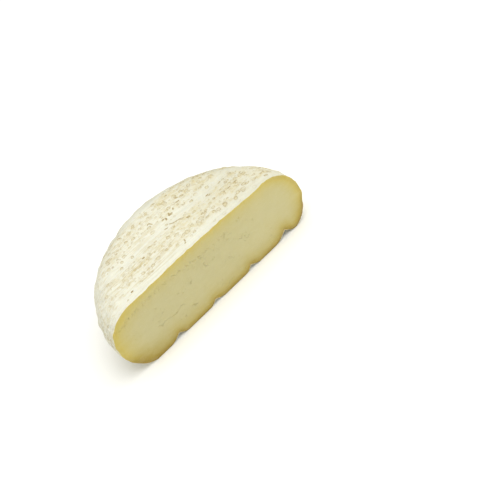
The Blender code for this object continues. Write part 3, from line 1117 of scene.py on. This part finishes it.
def torn_paste(g):
    """1 where the knife tore out crumbs, in a few crumbly areas away from the rind."""
    crumb = g.noise(CRUMB_LENGTH, 3.0, 0.6, 0.6, g.stretched(CRUMB_STRETCH))
    crumbly = g.ease(g.noise(CRUMBLY_LENGTH, 2.0, 0.5, 0.5), 0.51, 0.70)
    return g.times(g.ease(crumb, 0.58, 0.68), crumbly, g.ease(g.attribute("margin"), *CRUMBS_FROM))


def dent_row(g):
    """1 along the row of dents, fading to 0 on both sides of it and beyond its right end."""
    turn = g.math("DIVIDE", g.math("SUBTRACT", g.axis("X"), DENT_ROW_CREST_X), DENT_ROW_LENGTH)
    row = g.math("ADD", g.times(g.math("COSINE", turn), DENT_ROW_BEND), DENT_ROW_HEIGHT)
    return g.times(g.fade(g.away(g.axis("Z"), row), *DENT_ROW_FADE), g.fade(g.axis("X"), *DENT_ROW_STOPS))


def crack(g, start, end, height, slope):
    """1 in a fine broken crack of the paste, from start to end along X."""
    x = g.axis("X")
    wander = g.ease(g.noise(CRACK_WAVE_LENGTH, 3.0, 0.6), 0.3, 0.7, -CRACK_WANDER, CRACK_WANDER)
    level = g.math("ADD", g.times(g.math("SUBTRACT", x, start), slope), height)
    fine = g.fade(g.away(g.axis("Z"), g.math("ADD", level, wander)), *CRACK_FADE)
    within = g.times(g.ease(x, start, start + CRACK_TAPER), g.fade(x, end - CRACK_TAPER, end))
    return g.times(fine, within, g.ease(g.noise(CRACK_GAP_LENGTH), 0.42, 0.55))


def dents_and_cracks(g):
    """How deep each place is in the knife's dents or in a crack, from 0 to 1."""
    dents = g.noise(DENT_LENGTH, 2.0, 0.5, vector=g.stretched(DENT_STRETCH))
    dents = g.times(g.ease(dents, 0.56, 0.64), dent_row(g), DENT_SHARE)
    cracks = g.math("MAXIMUM", crack(g, *LONG_CRACK), crack(g, *SHORT_CRACK))
    return g.math("MAXIMUM", dents, cracks)


def paste_material():
    """Smooth paste, yellower towards the rind, with the rind's thin line round it and the knife's marks."""
    g = Graph("paste")
    drag = g.noise(DRAG_LENGTH, 4.0, 0.6, 0.4, g.stretched(DRAG_STRETCH))
    speckle = g.noise(FLECK_LENGTH, 3.0, 0.6)
    torn = torn_paste(g)
    sunk = dents_and_cracks(g)
    colour = g.mix(g.ease(drag, 0.35, 0.70, 0.0, DRY_COVER), banded_paste(g), DRY_PASTE)
    colour = g.mix(g.ease(speckle, 0.58, 0.72, 0.0, FLECK_COVER), colour, PASTE_FLECK)
    colour = g.mix(rind_line(g, speckle), colour, CUT_RIND)
    colour = g.lay(colour, YELLOW_PASTE, torn, TORN_COVER)
    colour = g.lay(colour, YELLOW_PASTE, sunk, SUNK_COVER)
    normal = g.bumps(
        (drag, DRAG_RELIEF),
        (torn, TORN_RELIEF),
        (g.times(sunk, -1.0), SUNK_RELIEF),
        (speckle, FLECK_RELIEF),
    )
    return g.finished({
        "Base Color": colour,
        "Normal": normal,
        "Roughness": g.ease(drag, 0.3, 0.7, *PASTE_ROUGHNESS),
        "Specular IOR Level": 0.40,
        "Subsurface Weight": 0.30,
        "Subsurface Scale": 0.0030,
        "Subsurface Radius": (1.0, 0.75, 0.35),
    })


def add(name, data):
    """A new object in the scene."""
    made = bpy.data.objects.new(name, data)
    bpy.context.scene.collection.objects.link(made)
    return made


def cheese():
    """The half wheel, standing for its solid."""
    piece = add("cheese_half_skin", cheese_mesh())
    piece.data.materials.append(rind_material())
    piece.data.materials.append(paste_material())
    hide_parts("cheese_half")
    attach(piece, "root")


def floor():
    """A plain pale floor, a hair below the part."""
    mesh = bpy.data.meshes.new("floor")
    corners = [(x * FLOOR_HALF, y * FLOOR_HALF, 0.0) for x, y in ((-1, -1), (1, -1), (1, 1), (-1, 1))]
    mesh.from_pydata(corners, [], [(0, 1, 2, 3)])
    made = add("floor", mesh)
    made.location.z = FLOOR_LEVEL
    inputs = {"Base Color": FLOOR_COLOUR, "Roughness": 0.9, "Specular IOR Level": 0.1}
    mesh.materials.append(Graph("floor").finished(inputs))


def light(name, place, size, power):
    """A square soft box that looks at the half wheel."""
    data = bpy.data.lights.new(name, "AREA")
    data.shape = "SQUARE"
    data.size = size
    data.energy = power
    made = add(name, data)
    made.location = place
    made.rotation_euler = (-Vector(place)).to_track_quat("-Z", "Y").to_euler()


def studio():
    """Soft light from above and in front, and a weak one from the left and behind, in a white room."""
    world = bpy.data.worlds.new("studio")
    world.use_nodes = True
    background = world.node_tree.nodes["Background"]
    background.inputs["Color"].default_value = (1.0, 1.0, 1.0, 1.0)
    background.inputs["Strength"].default_value = ROOM_STRENGTH
    bpy.context.scene.world = world
    light("key", *KEY_LIGHT)
    light("fill", *FILL_LIGHT)
    bpy.context.scene.view_settings.view_transform = "Standard"


def camera():
    """The photograph's view of the half wheel."""
    eye, right, up, back = camera_axes()
    data = bpy.data.cameras.new("camera")
    data.sensor_width = SENSOR / MILLIMETRE
    data.lens = FOCAL_PIXELS / PICTURE * SENSOR / MILLIMETRE
    data.clip_start = NEAREST
    data.clip_end = FARTHEST
    made = add("camera", data)
    turn = Matrix((right, up, back)).transposed()
    made.matrix_world = Matrix.Translation(eye) @ turn.to_4x4()
    bpy.context.scene.camera = made


camera()
cheese()
floor()
studio()
